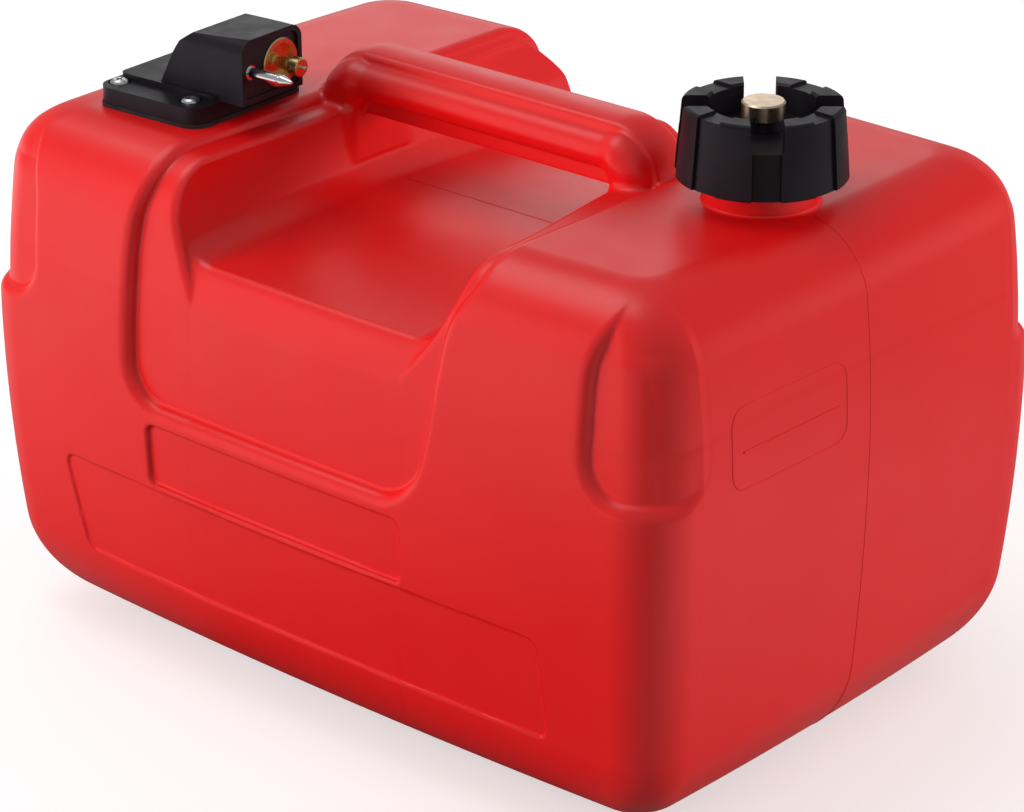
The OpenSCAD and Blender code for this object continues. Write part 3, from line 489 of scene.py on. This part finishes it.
def metal(name, low, high, roughness):
    material, *parts = new_material(name, roughness, 1.0)
    tint(*parts, 200, low, high)
    roughness_noise(*parts, 300, roughness * 0.8, roughness * 1.3)
    grain(*parts, 1500, 0.01, 0.3)
    return material


def plain(name, low, high, roughness):
    material, *parts = new_material(name, roughness)
    tint(*parts, 150, low, high)
    grain(*parts, 1500, 0.02, 0.4)
    return material


red = red_polyethylene()
knob_brass = metal("satin_brass", (0.78, 0.60, 0.42), (0.86, 0.69, 0.51), 0.3)
finishes = {
    "red_tank": red,
    "black_plastic": black_plastic(),
    "clear_plastic": plain("milky_plastic", (0.72, 0.70, 0.62), (0.80, 0.78, 0.70), 0.35),
    "brass_metal": metal("turned_brass", (0.80, 0.57, 0.26), (0.90, 0.68, 0.36), 0.26),
    "steel_metal": metal("zinc_steel", (0.70, 0.70, 0.71), (0.82, 0.82, 0.83), 0.26),
    "pin_steel": metal("polished_steel", (0.84, 0.84, 0.85), (0.92, 0.92, 0.93), 0.18),
    "rubber_black": plain("rubber", (0.012, 0.012, 0.013), (0.022, 0.022, 0.023), 0.7),
}

for part in frame["record"]["subparts"]:
    node = frame["nodes"][part["node"]]
    node.data.materials.clear()
    finish = knob_brass if part["node"] == "vent_screw" else finishes[part["material_slot"]]
    node.data.materials.append(finish)


# ---- the tank's skin -----------------------------------------------------------------------

skin_step = SKIN_STEP
skin = add_mesh("tank_skin", *surface_net(tank, *SKIN_BOX, skin_step))
dress(skin, red, "tank", "red_tank", "tank_shell", "carry_handle")


# ---- the threaded neck ---------------------------------------------------------------------

def lathe(name, profile, count, bulge):
    """A closed turned form from (radius, height) points round the filler's axis.  bulge gives the
    thread's height over the turned surface at each angle and height."""
    points = []
    for k in range(count):
        a = 2 * math.pi * k / count
        for r, z in profile:
            r += bulge(a, z) if r > NECK_R else 0
            points.append((NECK_X + r * math.cos(a), r * math.sin(a), z))
    n = len(profile)
    faces = []
    for k in range(count):
        this, after = k * n, (k + 1) % count * n
        faces += [(this + j, after + j, after + (j + 1) % n, this + (j + 1) % n) for j in range(n)]
    return add_mesh(name, points, faces)


def neck_thread(a, z):
    """Height of the neck's thread over its root."""
    height = 0.0
    for k in range(3):
        turn = a / (2 * math.pi) + k
        fade = min(turn, THREAD_TURNS - turn) * THREAD_FADE
        if fade > 0:
            off = abs(z - THREAD_Z - THREAD_PITCH * turn)
            flank = min(1, max(0, (THREAD_HALF - off) / THREAD_FLANK))
            height = max(height, THREAD_D * min(1, fade) * flank)
    return height


def neck_profile():
    """Down the bore, out under the skin, up the threaded wall and over the chamfered lip."""
    bore = [(NECK_BORE, LIP_Z - BORE_CHAMFER), (NECK_BORE, NECK_FOOT)]
    sunk = [(NECK_R - NECK_SINK, z) for z in (NECK_FOOT, NECK_SUNK_Z)]
    wall = [(NECK_R + NECK_PROUD, NECK_WALL_Z + NECK_RING * k) for k in range(NECK_RINGS)]
    lip = [(NECK_R - inward, LIP_Z - down) for inward, down in LIP_EDGE]
    return bore + sunk + wall + lip + [(NECK_BORE + BORE_CHAMFER, LIP_Z)]


neck = lathe("threaded_neck", neck_profile(), NECK_STEPS, neck_thread)
dress(neck, red, "tank", "red_tank", "filler_neck")


# ---- fine raised lines on the skin ---------------------------------------------------------

# Outline of a bead as shares of its width across and of its height up
BEAD_OUTLINE = [(-0.5, -0.4), (-0.32, 0.55), (0, 1), (0.32, 0.55), (0.5, -0.4)]


def resample(points, gap=1.2):
    """Points every gap mm or so along the line through the given points."""
    points = np.array(points, float)
    steps = np.linalg.norm(np.diff(points, axis=0), axis=1)
    length = np.concatenate([[0], np.cumsum(steps)])
    at = np.linspace(0, length[-1], max(2, int(length[-1] / gap)))
    return np.stack([np.interp(at, length, axis) for axis in points.T], 1)


def bead(name, points, width, height):
    """A fine raised line that follows the tank's surface through the points."""
    points = settle(tank, resample(points), 4)
    normal = unit(gradient(tank, points))
    side = np.cross(normal, unit(np.gradient(points, axis=0)))
    rows = [points + side * width * u + normal * height * v for u, v in BEAD_OUTLINE]
    n = len(points)
    faces = [(j * n + i, j * n + i + 1, (j + 1) * n + i + 1, (j + 1) * n + i)
             for j in range(len(BEAD_OUTLINE) - 1) for i in range(n - 1)]
    dress(add_mesh(name, np.concatenate(rows), faces), red, "tank", "red_tank")


def end_seam(side, start):
    """Points down the middle of the end on that side, from x start on the deck."""
    return [(side * x, 0, z) for x, z in [(start, DECK_Z)] + SEAM_END]


def rounded_frame(y_span, z_span, r):
    """Points round a rectangle with round corners on the filler's end."""
    (y0, y1), (z0, z1) = y_span, z_span
    middles = ((y1 - r, z1 - r), (y0 + r, z1 - r), (y0 + r, z0 + r), (y1 - r, z0 + r))
    points = []
    for quarter, (y, z) in enumerate(middles):
        for turn in range(0, 91, 15):
            a = math.radians(90 * quarter + turn)
            points.append((HALF_L, y + r * math.cos(a), z + r * math.sin(a)))
    return points + points[:1]


bead("parting_line_end", end_seam(1, SEAM_FILLER_X), SEAM_W, SEAM_H)
bead("parting_line_back_end", end_seam(-1, SEAM_OUTLET_X), SEAM_W, SEAM_H)
bead("parting_line_hollow", SEAM_HOLLOW, SEAM_W, SEAM_HOLLOW_H)
bead("fill_frame", rounded_frame(FRAME_Y, FRAME_Z, FRAME_R), FRAME_W, FRAME_H)
bead("fill_line", [(HALF_L - 1, y, FILL_Z) for y in FILL_Y], FILL_W, FILL_H)


# ---- softer edges on the black mouldings ---------------------------------------------------

def soften(node, width):
    """Rounds a node's sharp edges by width mm."""
    bevel = frame["nodes"][node].modifiers.new("soft_edges", "BEVEL")
    bevel.width = width * MM
    bevel.segments = 3
    bevel.limit_method = "ANGLE"
    bevel.angle_limit = math.radians(35)
    bevel.harden_normals = True


soften("outlet_housing", 0.8)
soften("filler_cap", 0.5)


# ---- floor and world -----------------------------------------------------------------------

FLOOR_HALF, FLOOR_Z = 3000, -0.3           # in mm
WHITE, FLOOR_GREY, SHADE_GREY = (1, 1, 1, 1), (0.6, 0.6, 0.6, 1), (0.35, 0.35, 0.35, 1)
ACROSS_VIEW = (0.749, 0.663, 0)            # to the right of the photograph's view, on the floor
SMALL_CARD = (0.55, -0.03, 0)              # in m, off the filler's end


def reflected_cards(tree, place):
    """What the tank mirrors of the floor: a bright card on the left and a faint one on the right
    of the view, dark between them, and a small one off the filler's end."""
    across = add_node(tree, "ShaderNodeVectorMath", {0: place}, operation="DOT_PRODUCT")
    across.inputs[1].default_value = ACROSS_VIEW
    left = add_node(tree, "ShaderNodeMapRange", {"Value": across.outputs["Value"]},
                    From_Min=-0.12, From_Max=-0.58, To_Min=0.04)
    right = add_node(tree, "ShaderNodeMapRange", {"Value": across.outputs["Value"]},
                     From_Min=0.08, From_Max=0.35, To_Max=0.3)
    sides = add_node(tree, "ShaderNodeMath", operation="ADD",
                     links={0: left.outputs["Result"], 1: right.outputs["Result"]})
    away = add_node(tree, "ShaderNodeVectorMath", {0: place}, operation="DISTANCE")
    away.inputs[1].default_value = SMALL_CARD
    small = add_node(tree, "ShaderNodeMapRange", {"Value": away.outputs["Value"]},
                     From_Min=0.45, From_Max=0.15, To_Max=0.45)
    cards = add_node(tree, "ShaderNodeMath", operation="ADD",
                     links={0: sides.outputs["Value"], 1: small.outputs["Result"]})
    return add_node(tree, "ShaderNodeEmission", {"Strength": cards.outputs["Value"]})


def mix_shader(tree, share, first, second):
    return add_node(tree, "ShaderNodeMixShader", {0: share, 1: first, 2: second}).outputs[0]


def floor_white():
    """White to the camera but for the tank's shadow, grey to the light that it scatters, and a
    set of cards to what mirrors it."""
    material, tree, shader, place = new_material("floor_white", 0.6, specular=0.0)
    shader.inputs["Base Color"].default_value = FLOOR_GREY
    shader.inputs["Emission Color"].default_value = WHITE
    path = add_node(tree, "ShaderNodeLightPath")
    dim = add_node(tree, "ShaderNodeBsdfDiffuse")
    dim.inputs["Color"].default_value = SHADE_GREY
    cards = reflected_cards(tree, place)
    glow = add_node(tree, "ShaderNodeEmission", Strength=0.5)
    lifted = add_node(tree, "ShaderNodeAddShader", {0: shader.outputs[0], 1: glow.outputs[0]})
    seen = mix_shader(tree, path.outputs["Is Camera Ray"], dim.outputs[0], lifted.outputs[0])
    shown = mix_shader(tree, path.outputs["Is Glossy Ray"], seen, cards.outputs[0])
    tree.links.new(shown, tree.nodes["Material Output"].inputs["Surface"])
    return material


def studio_world():
    """A soft sky that is white to the camera and dimmer in what mirrors it."""
    world = bpy.data.worlds.new("studio")
    world.use_nodes = True
    tree = world.node_tree
    sky = tree.nodes["Background"]
    sky.inputs["Color"].default_value = WHITE
    sky.inputs["Strength"].default_value = 0.42
    seen = add_node(tree, "ShaderNodeBackground", Strength=1.0, Color=WHITE)
    mirrored = add_node(tree, "ShaderNodeBackground", Strength=0.3, Color=WHITE)
    path = add_node(tree, "ShaderNodeLightPath")
    mix = sky.outputs[0]
    for ray, shade in (("Glossy", mirrored), ("Transmission", seen), ("Camera", seen)):
        mix = mix_shader(tree, path.outputs[f"Is {ray} Ray"], mix, shade.outputs[0])
    tree.links.new(mix, tree.nodes["World Output"].inputs["Surface"])
    return world


square = [(-FLOOR_HALF, -FLOOR_HALF), (FLOOR_HALF, -FLOOR_HALF), (FLOOR_HALF, FLOOR_HALF),
          (-FLOOR_HALF, FLOOR_HALF)]
floor = add_mesh("floor", [(x, y, FLOOR_Z) for x, y in square], [(0, 1, 2, 3)])
floor.data.materials.append(floor_white())
bpy.context.scene.world = studio_world()


# ---- lights and camera ---------------------------------------------------------------------

def area_light(name, place, aim, size, watts, mirrored=True):
    """A square light of size m that shines from place to aim."""
    lamp = bpy.data.lights.new(name, "AREA")
    lamp.shape = "SQUARE"
    lamp.size = size
    lamp.energy = watts
    light = bpy.data.objects.new(name, lamp)
    light.location = place
    light.rotation_euler = (Vector(aim) - Vector(place)).to_track_quat("-Z", "Y").to_euler()
    light.visible_glossy = mirrored
    bpy.context.scene.collection.objects.link(light)


LOW_AIM, HIGH_AIM = (0, 0, 0.1), (0, 0, 0.2)
area_light("key", (-1.3, -1.6, 0.65), LOW_AIM, 1.2, 38, mirrored=False)
area_light("right", (1.5, 1.3, 0.5), LOW_AIM, 0.9, 29, mirrored=False)
area_light("back", (-1.25, 1.42, 0.7), HIGH_AIM, 0.9, 2.2)
area_light("top", (-0.6, -0.3, 1.9), HIGH_AIM, 1.1, 8)

# The camera that was fitted to the photograph: its place in m, how far it looks down, leans to
# the side and turns round from the front, in degrees, and its lens in mm
CAMERA_PLACE = (0.8530, -0.9660, 0.6621)
LOOK_DOWN, CAMERA_ROLL, CAMERA_TURN = 23.69, 0.08, 41.28
LENS = 126.08

lens = bpy.data.cameras.new("camera")
lens.sensor_width = 36
lens.lens = LENS
camera = bpy.data.objects.new("camera", lens)
camera.location = CAMERA_PLACE
camera.rotation_euler = Euler([math.radians(a) for a in (90 - LOOK_DOWN, CAMERA_ROLL, CAMERA_TURN)])
bpy.context.scene.collection.objects.link(camera)
bpy.context.scene.camera = camera
bpy.context.scene.view_settings.view_transform = "Standard"
